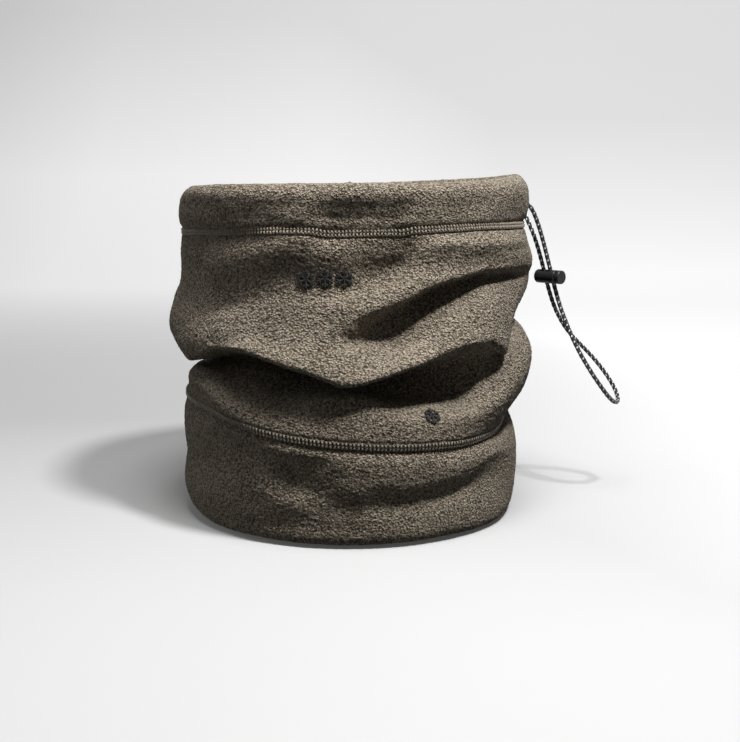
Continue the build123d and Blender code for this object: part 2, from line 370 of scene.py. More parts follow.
def plastic_material(name, base, light):
    """Finely textured moulded plastic, a little paler and smoother where it is handled."""
    f = Finish(name)
    wear = f.noise(520.0, 3.0)
    return f.shade(f.noise(5200.0, 2.0), 0.00004, 0.5, Base_Color=f.ramp(wear, (0.4, base), (0.72, light)),
                   Roughness=f.ramp(wear, (0.3, 0.52), (0.7, 0.38)))


def steel_material():
    """Bright drawn spring wire."""
    f = Finish("spring_wire")
    colour = f.ramp(f.noise(9000.0, 1.0), (0.3, (0.42, 0.42, 0.43)), (0.7, (0.66, 0.66, 0.67)))
    return f.shade(Base_Color=colour, Metallic=1.0, Roughness=0.28)


def label_material():
    """Blank woven tape with a fine cross weave."""
    f = Finish("label_weave")
    weave = f.node("TexWave", {"Vector": f.where, "Scale": 900.0, "Distortion": 0.6},
                   wave_type="BANDS", bands_direction="Z").outputs["Fac"]
    tone = f.total((weave, 0.4), (f.noise(300.0, 3.0), 0.6))
    colour = f.ramp(tone, (0.2, (0.44, 0.43, 0.40)), (0.8, (0.66, 0.65, 0.61)))
    return f.shade(weave, 0.0001, 0.6, Base_Color=colour, Roughness=0.6, Sheen_Weight=0.3)


# The fleece's dark colour is painted shade in the hollows of the nap; its light colour is a painted highlight
# on the tuft tips
FLEECE = fleece_material("fleece", (0.272, 0.226, 0.168), (0.080, 0.066, 0.045), (0.58, 0.488, 0.385))
SEAM_THREAD = thread_material("tonal_seam_thread", (0.185, 0.155, 0.113), (0.375, 0.315, 0.243))
# Needle rows get a darker copy of the seam thread: painted shade of the grooves they are pressed into
PAINTED_SHADE_NEEDLE_THREAD = thread_material("needle_thread_painted_shade", (0.030, 0.025, 0.018), (0.085, 0.070, 0.050))
DARK_THREAD = thread_material("dark_satin_thread", (0.006, 0.006, 0.006), (0.022, 0.021, 0.020), 0.04, 0.60)
CORD_COVER = cord_material()
PLASTIC = plastic_material("matt_black_moulding", (0.010, 0.010, 0.011), (0.022, 0.022, 0.024))
STEEL = steel_material()
LABEL = label_material()


# ------------------------------------------------------------ drawcord

# The route of part.py, in metres: from the front eyelet through the lock, round the loop and back
CORD_ROUTE = [
    (0.0858, 0.0105, 0.1512), (0.0906, 0.0112, 0.1496), (0.0946, 0.0126, 0.1420), (0.0989, 0.0142, 0.1294),
    (0.10649, 0.01581, 0.1014), (0.1109, 0.0116, 0.0886), (0.1155, 0.0056, 0.0770), (0.1213, 0.0026, 0.0667),
    (0.1282, 0.0034, 0.0568), (0.1342, 0.0076, 0.0496), (0.1382, 0.0126, 0.0470), (0.1402, 0.0176, 0.0482),
    (0.1394, 0.0222, 0.0528), (0.1355, 0.0252, 0.0596), (0.1295, 0.0266, 0.0674), (0.1224, 0.0260, 0.0748),
    (0.1152, 0.0239, 0.0816), (0.1092, 0.0212, 0.0898), (0.10356, 0.01895, 0.1014),
    (0.09597, 0.01734, 0.1294), (0.0905, 0.0206, 0.1426), (0.0872, 0.0220, 0.1482), (0.0835, 0.0224, 0.1508),
]
CORD_RADIUS = 0.00105
CARRIERS = 8                      # strands of the cover that wind each way
TURN_LENGTH = 0.0064              # length of cord in which a strand winds round once
YARN_SIDES = 5


def route_line(points, resolution):
    """Points along the NURBS spline that has the route as its control points."""
    data = bpy.data.curves.new("route", "CURVE")
    data.dimensions = "3D"
    spline = data.splines.new("NURBS")
    spline.points.add(len(points) - 1)
    for point, place in zip(spline.points, points):
        point.co = (*place, 1)
    spline.order_u = 3
    spline.use_endpoint_u = True
    spline.resolution_u = resolution
    curve = link("route", data)
    mesh = bpy.data.meshes.new_from_object(curve)
    line = np.array([v.co for v in mesh.vertices], float)
    bpy.data.objects.remove(curve)
    bpy.data.curves.remove(data)
    bpy.data.meshes.remove(mesh)
    return line


def braid(line, name, start_side):
    """A cord along a line: a core, and strands that wind both ways over and under each other."""
    run = run_lengths(line)
    length = run[-1]
    even = np.linspace(0, length, len(line))
    line = interpolate(even, run, line)
    tangent = unit(np.gradient(line, axis=0))
    side = [np.array(start_side)]
    for direction in tangent:
        side.append(unit(side[-1] - direction * side[-1].dot(direction)))
    side = np.array(side[1:])
    across = np.cross(tangent, side)

    def place(s, angle, radius):
        centre, out, over = [interpolate(s, even, values) for values in (line, side, across)]
        return centre + (np.cos(angle)[:, None] * out + np.sin(angle)[:, None] * over) * radius[:, None]

    strands = Strands()
    strands.tube(line, CORD_RADIUS - 0.00030, 8)
    fleck = [np.zeros(strands.count)]
    s = np.linspace(0.0, length, int(length / TURN_LENGTH * CARRIERS * 2 * 3))
    for way in (1, -1):
        for strand in range(CARRIERS):
            angle = way * 2 * math.pi * s / TURN_LENGTH + 2 * math.pi * strand / CARRIERS
            crossing = s / TURN_LENGTH * CARRIERS * 2 + strand * way
            weave = way * np.sin(math.pi * crossing / 2)
            radius = CORD_RADIUS - 0.00016 + 0.00009 * weave
            path = place(s, angle, radius)
            pale = way > 0 and strand % 4 == 0
            outward = place(s, angle, radius + 0.001) - path
            strands.tube(path, 0.00046 if pale else 0.00036, YARN_SIDES, 0.42, outward)
            fleck.append(np.repeat(pad((pale * (weave > -0.2)).astype(float)), YARN_SIDES))
    return strands.object(name, CORD_COVER, {"fleck": np.concatenate(fleck)}), line, length


drawcord, cord_path, cord_length = braid(route_line(CORD_ROUTE, 40), "drawcord_braid", (-0.25, -0.9, 0.1))
attach(drawcord, "drawcord_loop", "cord_loop")


# ------------------------------------------------------------ fleece panels

# Main panel from the top seam down: each row is a line of the slump, as (azimuth, radius, height)
PANEL_ROWS = {
    "behind_collar": [(-180, 80.4, 142.6), (-82, 80, 140.8), (-60, 80.6, 142), (0, 82, 143.5),
        (45, 82.4, 144.1), (82, 82.6, 143.8)],
    "below_top_seam": [(-180, 82.8, 141), (-82, 81.6, 139.2), (-50, 82.2, 140.2), (-20, 84.6, 141.5),
        (-12, 84.6, 141.6), (-5, 81.8, 141.8), (8, 81.2, 142), (14, 81.8, 142.1), (20, 84.8, 142.2),
        (45, 85, 142.6), (82, 84.6, 142.3)],
    "stitched_strip": [(-180, 83.4, 136), (-82, 82.2, 135), (-60, 81.2, 136.4), (-42, 81.8, 137.2),
        (-28, 84.4, 137.6), (-14, 86, 137.6), (-4, 82.2, 137.6), (8, 81.6, 137.8), (14, 82, 137.8),
        (20, 85.2, 137.8), (45, 86.8, 138), (82, 85.9, 137.2)],
    "puff": [(-180, 84.8, 128), (-110, 83, 127), (-82, 82.8, 129), (-60, 82.6, 128), (-38, 84.4, 129.4),
        (-18, 86.2, 132), (-6, 84.6, 131.6), (3, 81.6, 130.6), (10, 80.6, 130.6), (16, 81.4, 131.4),
        (21, 85.6, 133), (30, 88.6, 134.2), (50, 88.8, 134), (82, 87.4, 131.6)],
    "below_puff": [(-180, 84.6, 123), (-110, 82.4, 121), (-82, 82.8, 119.6), (-60, 82.6, 113),
        (-43, 82.4, 113.4), (-30, 83, 117.4), (-18, 83.2, 121), (-4, 81.6, 121), (2, 79.8, 121),
        (8, 78.4, 121.6), (14, 79, 123.6), (20, 84.8, 128), (26, 87, 130), (30, 87.6, 130.4),
        (50, 88.2, 130.2), (82, 88.4, 128.8)],
    "valley": [(-180, 84.8, 118), (-110, 83.2, 115), (-82, 83.6, 112), (-60, 84, 103.6), (-43, 83, 105.4),
        (-30, 83, 110), (-18, 83.2, 112.6), (-6, 82, 113), (2, 80.4, 114.4), (9, 80.4, 117),
        (14, 82.4, 119.6), (19, 85.4, 122.6), (30, 86.8, 126.4), (46, 87.6, 127.8), (60, 88.8, 127.8),
        (82, 89.2, 126)],
    "upper_ridge": [(-180, 86, 110), (-110, 86.2, 107), (-82, 86.4, 106), (-60, 85.6, 100.6),
        (-43, 84.6, 102.4), (-30, 84.6, 106.2), (-18, 84.6, 108.4), (-5, 84.8, 108.6), (3, 85.2, 110),
        (9, 85.8, 112.4), (17, 88.8, 117.2), (26, 87.2, 122.2), (36, 87, 124.2), (46, 87.4, 125.4),
        (60, 88.6, 124.8), (82, 89.6, 122.8), (120, 88, 117)],
    "ridge_edge": [(-180, 87, 105.4), (-110, 87.4, 103.2), (-82, 87.6, 102.2), (-60, 86.6, 98.2),
        (-43, 86, 100.4), (-30, 85.8, 102.8), (-18, 85.6, 104.2), (-5, 85.8, 104.2), (3, 87, 104.6),
        (9, 87.6, 107.2), (17, 89.8, 111.8), (26, 88.2, 117.2), (36, 87.6, 120.4), (46, 87.6, 122.2),
        (60, 88, 121.8), (82, 89.2, 119.8), (120, 87.4, 113.4)],
    "crease": [(-180, 87.8, 100.6), (-110, 88.6, 99.4), (-82, 88.6, 98.8), (-60, 87.4, 96.2),
        (-43, 86.8, 98), (-30, 86.8, 99.4), (-18, 86.8, 99.6), (-5, 86.8, 99.4), (1, 86, 98.8),
        (4, 82, 98.8), (7, 79.4, 99.8), (17, 75.4, 105.6), (26, 74.8, 111.4), (36, 76.6, 115.8),
        (46, 79, 118.2), (60, 82.8, 118.2), (82, 88.2, 117.4), (120, 86.4, 110)],
    "below_crease": [(-180, 88.4, 96), (-110, 89.4, 95.6), (-82, 89.2, 94.8), (-60, 88, 94), (-43, 88, 95.4),
        (-30, 88, 96.2), (-18, 88.4, 95.6), (-5, 88.2, 94.6), (1, 83.4, 92.6), (4, 81.6, 93.4),
        (8, 79.4, 93.8), (17, 79.6, 97), (26, 81.4, 102.8), (36, 83.4, 109), (46, 84.6, 113.4),
        (60, 86.6, 114), (82, 87.9, 113.4), (120, 85.8, 106)],
    "upper_belly": [(-180, 88.4, 91.6), (-110, 89.6, 91.4), (-82, 89, 90.6), (-60, 88.6, 91),
        (-43, 88.6, 93), (-30, 89.8, 93), (-18, 91, 91.2), (-5, 91.2, 89.2), (2, 89, 88.2), (8, 85.6, 88.2),
        (17, 84.6, 91.4), (26, 86.8, 96.8), (36, 88.2, 103.2), (46, 88.8, 107.4), (60, 88.4, 108.2),
        (82, 86.4, 108), (120, 84.8, 101.4)],
    "belly": [(-180, 86.6, 86.6), (-110, 87.4, 85.4), (-82, 86.8, 85.6), (-60, 89, 86.6), (-43, 89, 90.6),
        (-30, 92.2, 90.6), (-18, 95, 87), (-6, 95.6, 83), (0, 95, 81.2), (8, 92, 83), (17, 91.4, 87),
        (26, 91, 92), (36, 91.4, 96.4), (46, 91, 99), (54, 90, 99), (62, 87.6, 101), (72, 84.8, 103),
        (82, 82.6, 104), (120, 82.8, 96.4)],
    "lip": [(-180, 81.2, 82.5), (-110, 81, 80.3), (-82, 79.6, 77.9), (-70, 83.6, 78.7), (-60, 87.2, 80.7),
        (-50, 88.8, 84.3), (-42, 89.8, 88.1), (-33, 92.8, 89.3), (-22, 95.6, 86.1), (-12, 97, 81.7),
        (-5, 97.4, 77.7), (-2, 97.4, 76.1), (2, 97.2, 76.7), (8, 96.4, 79.1), (18, 95.2, 83.7),
        (27, 93.4, 87.9), (36, 93.2, 90.9), (43, 92.6, 91.1), (48, 91.8, 87.9), (53, 90.2, 84.5),
        (57, 88.2, 87.9), (61, 85.4, 93.1), (66, 81.6, 97.5), (72, 78.8, 99.7), (82, 75.6, 101.1),
        (120, 75.8, 92.9)],
    "lip_turn": [(-180, 79.5, 80.7), (-110, 79.3, 78.5), (-82, 77.9, 76.1), (-70, 81.9, 76.9),
        (-60, 85.5, 78.9), (-50, 87.1, 82.5), (-42, 88.1, 86.3), (-33, 91.2, 87.5), (-22, 94, 84.3),
        (-12, 95.4, 79.9), (-5, 95.8, 75.9), (-2, 95.8, 74.3), (2, 95.6, 74.9), (8, 94.6, 77.3),
        (18, 93.4, 81.9), (27, 91.7, 86.1), (36, 91.5, 89.1), (43, 90.9, 89.3), (48, 90.1, 86.1),
        (53, 88.5, 82.7), (57, 86.5, 86.1), (61, 83.7, 91.3), (66, 79.9, 95.7), (72, 77.1, 97.9),
        (82, 73.9, 99.3), (120, 74.1, 91.1)],
    "under_lip": [(-180, 75, 78.8), (-110, 73, 78), (-82, 71, 77.6), (-60, 80, 78.8), (-42, 84.6, 85.4),
        (-30, 86, 85.6), (-18, 87, 81.4), (-7, 88, 77), (0, 88.4, 75.2), (8, 87, 76.8), (18, 86.4, 80.8),
        (27, 86.6, 84.2), (36, 87, 86.2), (43, 86.8, 86), (50, 85.6, 83.4), (56, 83, 86), (61, 79.6, 91.4),
        (66, 74.6, 95), (72, 72, 97), (82, 68.4, 98), (120, 68, 90)],
    "recess": [(-180, 70, 75.6), (-110, 67, 76), (-82, 66, 76), (-60, 66, 78.4), (-42, 58, 80),
        (-18, 52, 77), (0, 54, 74.6), (18, 60, 74.6), (36, 70, 76.8), (50, 82.4, 79.8), (55, 83.4, 82.4),
        (61, 80.6, 88.4), (72, 66, 93.6), (82, 63, 95.6), (120, 62, 87)],
    "recess_floor": [(-180, 73.4, 73), (-110, 70, 72.6), (-82, 70.4, 73), (-60, 72, 74.6), (-42, 70, 74),
        (-18, 66, 68.6), (0, 68, 68), (18, 66, 65.4), (36, 72, 66.4), (50, 83.2, 75.6), (55, 85, 79.6),
        (61, 84, 85.6), (72, 73, 91), (82, 71, 94.6), (120, 70, 86)],
    "ledge": [(-180, 80, 70), (-110, 75.6, 69.8), (-82, 76.4, 71.6), (-60, 81.8, 74.4), (-50, 83, 73),
        (-43, 84, 70.2), (-34, 84.4, 66.8), (-20, 85.2, 63.8), (-10, 88.4, 66.6), (-4, 89.4, 68.2),
        (3, 89, 68.8), (12, 85, 64.4), (24, 83.2, 62.4), (36, 81.8, 61.6), (48, 85.8, 68.6),
        (53, 87.2, 73.6), (58, 87.6, 78.6), (64, 86.6, 84.6), (72, 84, 89.6), (82, 81.4, 93.8),
        (120, 78.6, 84)],
    "ridge": [(-180, 84.6, 64), (-110, 79.4, 64.8), (-82, 78.8, 65.4), (-62, 84.6, 71.2), (-52, 87, 68.8),
        (-43, 89, 64.6), (-34, 90, 61.2), (-24, 90.4, 58.4), (-10, 90.8, 61.4), (2, 91.2, 62.6),
        (12, 90.6, 58.6), (24, 89.6, 57.2), (36, 89.6, 57.4), (48, 90.4, 61.4), (58, 91, 68), (68, 91.4, 77),
        (76, 90.6, 81), (82, 89.7, 81.4), (120, 87.6, 74)],
    "above_low_seam": [(-180, 84.8, 57.4), (-110, 81.8, 61), (-82, 80.8, 61.6), (-66, 83, 64.6),
        (-51, 86.6, 63), (-36, 90.4, 58), (-24, 91.4, 54.4), (-10, 91.8, 54), (4, 92, 53.4), (20, 91, 51.4),
        (30, 90, 51.2), (38, 89.2, 52), (50, 89, 56), (62, 88, 59.6), (72, 87.4, 61.4), (82, 87, 61),
        (120, 86.6, 59)],
    "low_seam_strip": [(-180, 82.8, 53.4), (-110, 82.4, 58.6), (-82, 81.8, 58.8), (-51, 85.6, 58.8),
        (-36, 89.4, 55.6), (-24, 91.2, 52.2), (-4, 92.2, 49), (14, 91.6, 47), (30, 89.6, 46),
        (44, 86.6, 46.4), (56, 83.2, 47.8), (66, 80.4, 49.8), (82, 77.6, 50.6), (120, 80, 52)],
    "at_low_seam": [(-180, 81.8, 50.4), (-140, 81.6, 53.9), (-110, 81.4, 56.4), (-82, 81.2, 56.4),
        (-51, 84.4, 56.2), (-36, 88, 53.2), (-24, 90, 49.8), (-4, 91.2, 46.5), (22, 90, 43.9),
        (36, 87.2, 43), (56, 81.6, 43.4), (66, 79, 45.2), (82, 77, 47.8), (105, 79, 49.2),
        (140, 80.6, 49.2)],
}

# Bottom band from its seam down and round the foot to the top of its inner layer
BAND_ROWS = {
    "behind_panel": [(-180, 77.2, 53), (-140, 77, 56.5), (-110, 77, 59), (-82, 77, 59), (-51, 80.2, 58.6),
        (-36, 83.8, 55.6), (-24, 85.8, 52.2), (-4, 87, 48.8), (22, 85.8, 46.2), (36, 83, 45.3),
        (56, 77.6, 45.8), (66, 75.4, 47.8), (82, 73.6, 50.2), (105, 75, 51.8), (140, 76.8, 52)],
    "seam": [(-180, 81.4, 49.8), (-140, 81.2, 53.3), (-110, 81, 55.8), (-82, 80.8, 55.8), (-51, 84, 55.6),
        (-36, 87.6, 52.6), (-24, 89.6, 49.2), (-4, 90.8, 45.9), (22, 89.6, 43.3), (36, 86.8, 42.4),
        (56, 81.2, 42.8), (66, 78.8, 44.6), (82, 77.4, 47), (105, 78.8, 48.6), (140, 80.2, 48.6)],
    "shoulder": [(-180, 82.6, 47.6), (-110, 82.2, 53.4), (-82, 82.2, 53.4), (-51, 85.2, 53.4),
        (-36, 88.8, 50.6), (-24, 90.8, 47.2), (-4, 92, 43.8), (22, 90.8, 41.2), (36, 88, 40.2),
        (56, 84.4, 40.4), (66, 82.8, 41.8), (82, 80.6, 42.6), (105, 81.6, 45), (140, 82.4, 46)],
    "upper": [(-180, 83.6, 38), (-110, 83.2, 42), (-82, 83.2, 42), (-58, 83.8, 41.6), (-46, 85.2, 42),
        (-34, 87.4, 42), (-24, 89.6, 41), (-17, 90, 40), (-10, 90.8, 39.6), (0, 92.2, 39), (10, 92.4, 38),
        (22, 91.4, 36.8), (36, 89, 35.8), (50, 87, 36.4), (66, 85.2, 36), (82, 83.3, 34), (130, 83.6, 36)],
    "middle": [(-180, 83.4, 24), (-110, 82.4, 28), (-82, 82, 28.6), (-58, 83, 29.6), (-46, 84.4, 30),
        (-34, 87.2, 30), (-24, 88.6, 31), (-16, 87.4, 31.4), (-8, 89.4, 30.4), (2, 91.4, 29.6),
        (14, 91, 29.4), (28, 89.4, 29.8), (38, 87.4, 30.4), (50, 85.4, 31.6), (62, 85.2, 28.4),
        (82, 83.6, 24)],
    "dent": [(-180, 83.2, 18), (-110, 83.2, 21), (-82, 83, 22), (-60, 83.8, 21), (-40, 86, 20),
        (-24, 88.2, 20.6), (-10, 88.6, 20), (3, 88.4, 19.4), (14, 86.8, 20), (28, 85.2, 21.4),
        (38, 84.2, 23.2), (50, 84.2, 25), (58, 84.8, 22.6), (66, 84.6, 20), (82, 83.4, 18.4)],
    "lower": [(-180, 83, 12), (-110, 83.4, 13.6), (-82, 83.6, 14.6), (-40, 85.6, 11), (-24, 87, 10.6),
        (-10, 87.8, 11.4), (3, 88.2, 11.6), (14, 88, 12.4), (28, 87.4, 13.4), (38, 86.6, 14.6),
        (50, 85.6, 16.4), (64, 84.4, 12.6), (82, 83.2, 12)],
    "foot": [(-180, 81.2, 3.2), (-82, 80.8, 5), (-40, 84.2, 3), (-14, 86.4, 3), (10, 86.8, 3), (45, 85.2, 3),
        (82, 81, 3)],
    "sole": [(-180, 78.4, 0.35), (-82, 77.6, 1), (0, 77.6, 0.3), (82, 78, 0.35)],
    "inner_foot": [(-180, 75.6, 1), (0, 75.2, 0.8), (82, 75.4, 1)],
    "inner_low": [(-180, 75, 5), (0, 74.6, 5)],
    "inner_middle": [(-180, 75.6, 24), (-90, 75.4, 26), (-40, 78.4, 24), (0, 81, 22), (40, 78.6, 22),
        (90, 75.4, 22)],
    "inner_top": [(-180, 76.4, 47), (-110, 76.2, 52), (-51, 79, 52), (-36, 82.2, 48.9), (-24, 84, 45.4),
        (-4, 85.2, 42.4), (22, 84.2, 40), (36, 81.4, 39.2), (56, 76.6, 39.6), (66, 74.6, 41.4),
        (105, 74.6, 45.4)],
    "inner_edge": [(-180, 78.2, 49), (-110, 78, 54.4), (-51, 81, 54.2), (-36, 84.4, 51.2), (-24, 86.2, 47.8),
        (-4, 87.4, 44.6), (22, 86.4, 42), (36, 83.6, 41.2), (56, 78.6, 41.8), (66, 76.6, 43.4),
        (105, 76.6, 47.4)],
}

# Top band from its seam up its outside, over the crest and down its inside
COLLAR_ROWS = {
    "behind_panel": [(-180, 77.8, 139.2), (-120, 77.6, 137.8), (-82, 77, 137.4), (-60, 77.2, 138.6),
        (0, 79.4, 140.1), (35, 79.4, 140.7), (82, 80, 140.4), (130, 78.6, 139.8)],
    "seam": [(-180, 81.8, 142.7), (-120, 81.4, 141.3), (-82, 80.8, 140.9), (-60, 81.2, 142.1),
        (-20, 83.2, 143), (-12, 83.2, 143.2), (-5, 80.6, 143.5), (8, 80, 143.7), (14, 80.6, 143.8),
        (20, 83.6, 143.9), (35, 83.8, 144.2), (82, 83.6, 143.9), (130, 82.6, 143.3)],
    "roll": [(-180, 84, 144.6), (-120, 82.2, 143.4), (-82, 81.4, 143.2), (-60, 81.8, 144.4),
        (-30, 83.2, 145.2), (-14, 83.9, 145.6), (-6, 80.6, 145.8), (8, 79.8, 145.8), (14, 80.4, 145.9),
        (20, 83.6, 146), (35, 84, 146.2), (60, 84.2, 146.2), (82, 84.8, 146.2), (130, 84.6, 145.6)],
    "outside": [(-180, 84.8, 149.6), (-120, 82.4, 149), (-82, 81.2, 148.8), (-55, 82, 150),
        (-34, 83.8, 150.6), (-20, 83.9, 150.8), (-13, 84, 150.8), (-5, 81.9, 150.6), (8, 81.3, 150.6),
        (15, 82, 150.8), (21, 84.2, 151.2), (28, 84.5, 151.2), (38, 83.9, 151.2), (42, 83.8, 151.2),
        (48, 84.5, 151.4), (62, 85.2, 151.8), (82, 85.5, 152), (101, 84.7, 151.4), (130, 85, 150.8)],
    "upper": [(-180, 83.6, 155), (-120, 81.8, 154.4), (-82, 79.8, 153.6), (-55, 82, 155.6),
        (-20, 83.8, 156.4), (-2, 83.2, 156.2), (10, 83, 156.4), (24, 84.5, 156.8), (40, 84, 157),
        (62, 84.8, 158.2), (82, 84.4, 158.8), (101, 84, 158.2), (130, 83.8, 156.8)],
    "crest": [(-180, 80.4, 157.4), (-120, 79, 156.6), (-82, 76.8, 155.8), (-68, 78.2, 156.8),
        (-40, 80.2, 157.9), (0, 80.4, 158.6), (30, 80.8, 158.9), (50, 81, 159.8), (68, 81, 161.4),
        (82, 80.8, 162.4), (101, 80.6, 161.8), (130, 80.6, 160)],
    "inner_crest": [(-180, 77.6, 155.2), (-82, 75.4, 154.4), (0, 77.6, 156.4), (50, 77.8, 157.6),
        (82, 77.8, 159.8), (130, 77.6, 157.6)],
    "inner_upper": [(-180, 76.8, 151.6), (-82, 75, 151), (0, 76.8, 152.8), (50, 77, 153.6), (82, 77.2, 155),
        (130, 76.8, 153.6)],
    "inner_middle": [(-180, 76.6, 148), (-82, 75.4, 147), (0, 76.4, 149), (82, 77, 149.6)],
    "inner_low": [(-180, 77, 143.8), (-82, 76.4, 142.4), (0, 77, 144.8), (82, 77.8, 145)],
    "inner_edge": [(-180, 79.4, 142.9), (-120, 79, 141.5), (-82, 78.6, 141.1), (0, 79.6, 143.8),
        (82, 80.4, 144.1)],
}

PANEL_THICKNESS = 2.6             # millimetres, as are most lengths in this part of the script

# Each cloth's folds, grid round and along, seed and depth of soft dents, grid rows held still at each edge,
# thickness, and seed of its nap
CLOTHS = {
    "main_panel": (PANEL_ROWS, 900, 291, 11, 0.9, 16, PANEL_THICKNESS, 31),
    "bottom_band": (BAND_ROWS, 720, 211, 51, 0.9, 10, 2.3, 55),
    "top_band": (COLLAR_ROWS, 720, 111, 71, 0.7, 10, 2.2, 75),
}
NAP_HEIGHT = 0.16                 # how far the tufts stand up
SEAM_ROWS = (0.7, 2.4, 4.1)       # from a seam to the needle rows beside it
TOP_ALLOWANCE = 2.3               # part of the panel hidden behind the top band
STITCH = 1.55                     # from stitch to stitch
SEAM_RADIUS = 82.5                # from the axis to both seams, on average
JOIN_HALF = 2.2                   # from the back join to the stitches on each side of it
JOIN_STITCH = 1.5                 # from stitch to stitch along the join
JOIN_RADIUS = 84.0                # from the axis to the join
THREAD = 0.26                     # radius of a sewing thread
EYELETS = {"eyelet_front": 97.0, "eyelet_rear": 105.0}
EYELET_RADIUS, EYELET_Z = 0.0848, 0.151      # in metres


def raised(points, normals, heights):
    """Grid points moved along their normals by millimetres each; heights may be flat or a grid."""
    return points + normals * (heights.reshape(points.shape[:2]) * MM)[..., None]


def nap(points, normals, seed):
    """Raises the matted tufts of the fleece, each about a millimetre across."""
    flat = points.reshape(-1, 3)
    lumps = (noise(flat, 0.0013, seed) + 0.8 * noise(flat, 0.0008, seed + 1)
             + 0.25 * noise(flat, 0.0030, seed + 2))
    return raised(points, normals, lumps * NAP_HEIGHT)


def cloth_surface(rows, count_round, count_along, seed, amount, stiff_edge):
    """The outer face of a lofted piece of cloth, with soft dents that fade towards its two sewn edges."""
    azimuths = np.linspace(-180, 180, count_round, endpoint=False)
    surface = smooth_grid(around(loft(list(rows.values()), azimuths, count_along), azimuths), 2)
    flat = surface.reshape(-1, 3)
    squeezed = flat * np.array([1.0, 1.0, 1.35])
    lift = (0.55 * noise(squeezed, 0.034, seed) + 0.30 * noise(squeezed, 0.015, seed + 1)
            + 0.14 * noise(flat, 0.0065, seed + 2))
    from_edge = np.minimum(np.arange(count_along), np.arange(count_along)[::-1])
    free = np.clip(from_edge / stiff_edge, 0.12, 1.0)
    return raised(surface, grid_normals(surface), lift.reshape(count_round, -1) * amount * free)


def press_seams(surface, rows_too):
    """Presses in the join at the back and, where wanted, the needle rows beside both sewn edges."""
    arc = run_lengths(surface) / MM
    press = np.zeros_like(arc)
    if rows_too:
        for distance in (arc - TOP_ALLOWANCE, arc[:, -1:] - arc):
            for row in SEAM_ROWS:
                press += 0.60 * np.exp(-((distance - row) / 0.40) ** 2)
    offset = (np.linspace(0, 1, len(surface), endpoint=False) + 0.5) % 1 - 0.5
    offset = offset * 2 * math.pi * JOIN_RADIUS
    for side, depth, width in ((0.0, 0.9, 0.7), (-JOIN_HALF, 0.35, 0.6), (JOIN_HALF, 0.35, 0.6)):
        press += (depth * np.exp(-((offset - side) / width) ** 2))[:, None]
    return raised(surface, grid_normals(surface), -press)


def dimple(surface, centre, radius, depth):
    """Pushes the cloth in by millimetres round a point, as an eyelet's hole does."""
    away = np.linalg.norm(surface - centre, axis=2)
    return raised(surface, grid_normals(surface), -depth * np.exp(-(away / radius) ** 4))


def closed_shell(outer, thickness, name, seed):
    """One closed piece of cloth, from its outer face; its back has half the grid each way."""
    normals = grid_normals(outer)
    soft = unit(smooth_grid(normals, 8))
    shown = nap(outer, normals, seed)
    shown[..., 2] = np.maximum(shown[..., 2], 0.0)
    back = nap((outer - soft * thickness * MM)[::2, ::2], -soft[::2, ::2], seed + 5)
    n, m = shown.shape[:2]
    front_index = np.arange(n * m).reshape(n, m)
    back_index = n * m + np.arange(back[..., 0].size).reshape(back.shape[:2])
    faces = [*ring_faces(n, m).tolist(), *(ring_faces(*back.shape[:2])[:, ::-1] + n * m).tolist()]
    for edge in (0, -1):
        front, behind = front_index[:, edge], back_index[:, edge]
        ahead = np.roll(front, -2)[::2], np.roll(behind, -1)
        rim = np.stack([front[::2], front[1::2], *ahead, behind], axis=1)
        faces += (rim if edge else rim[:, ::-1]).tolist()
    vertices = np.vstack([shown.reshape(-1, 3), back.reshape(-1, 3)])
    return new_object(name, vertices, faces, FLEECE)


surfaces, fleece = {}, {}
for node, (rows, *grid, thickness, nap_seed) in CLOTHS.items():
    surface = press_seams(cloth_surface(rows, *grid), node == "main_panel")
    if node == "top_band":
        for eyelet_azimuth in EYELETS.values():
            hole = azimuth_vector(eyelet_azimuth) * (EYELET_RADIUS - 0.0001)
            hole[2] = EYELET_Z
            surface = dimple(surface, hole, 0.0017, 2.2)
    surfaces[node] = surface
    fleece[node] = attach(closed_shell(surface, thickness, node + "_fleece", nap_seed), node)


# ------------------------------------------------------------ stitching

class Face:
    """The face of a piece of cloth, to lay thread on, measured from its first row or from its last."""

    def __init__(self, surface, from_end=False):
        way = -1 if from_end else 1
        self.points = surface[:, ::way]
        self.arc = run_lengths(self.points) / MM
        self.both = np.concatenate([self.points, grid_normals(surface)[:, ::way]], axis=2)

    def at(self, column, distance):
        """Point and normal on a column (a float, wrapping round) at millimetres from the first row."""
        low = math.floor(column)
        found = 0.0
        for i, share in ((low, 1 - (column - low)), (low + 1, column - low)):
            i %= len(self.arc)
            arc = self.arc[i]
            j = min(max(int(np.searchsorted(arc, distance)) - 1, 0), len(arc) - 2)
            t = (distance - arc[j]) / (arc[j + 1] - arc[j])
            found = found + share * (self.both[i, j] * (1 - t) + self.both[i, j + 1] * t)
        return found[:3], unit(found[3:])

    def lay(self, strands, spots, lifts, radius, sides=6, flat=1.0):
        """A thread over (column, distance) spots, lifted off the cloth by millimetres at each."""
        found = [self.at(*spot) for spot in spots]
        path = [point + normal * lift * MM for (point, normal), lift in zip(found, lifts)]
        strands.tube(path, radius * MM, sides, flat, [normal for _, normal in found])

    def column_at(self, azimuth):
        """The float column of an azimuth."""
        return (azimuth + 180) / 360 * len(self.points)

    def distance_at(self, azimuth, height):
        """Millimetres along the cloth to where its outside comes nearest a height."""
        i = int(round(self.column_at(azimuth)))
        radius = np.linalg.norm(self.points[i, :, :2], axis=1) / MM
        off = np.where(radius > 78, np.abs(self.points[i, :, 2] / MM - height), 99.0)
        return self.arc[i, np.argmin(off)]


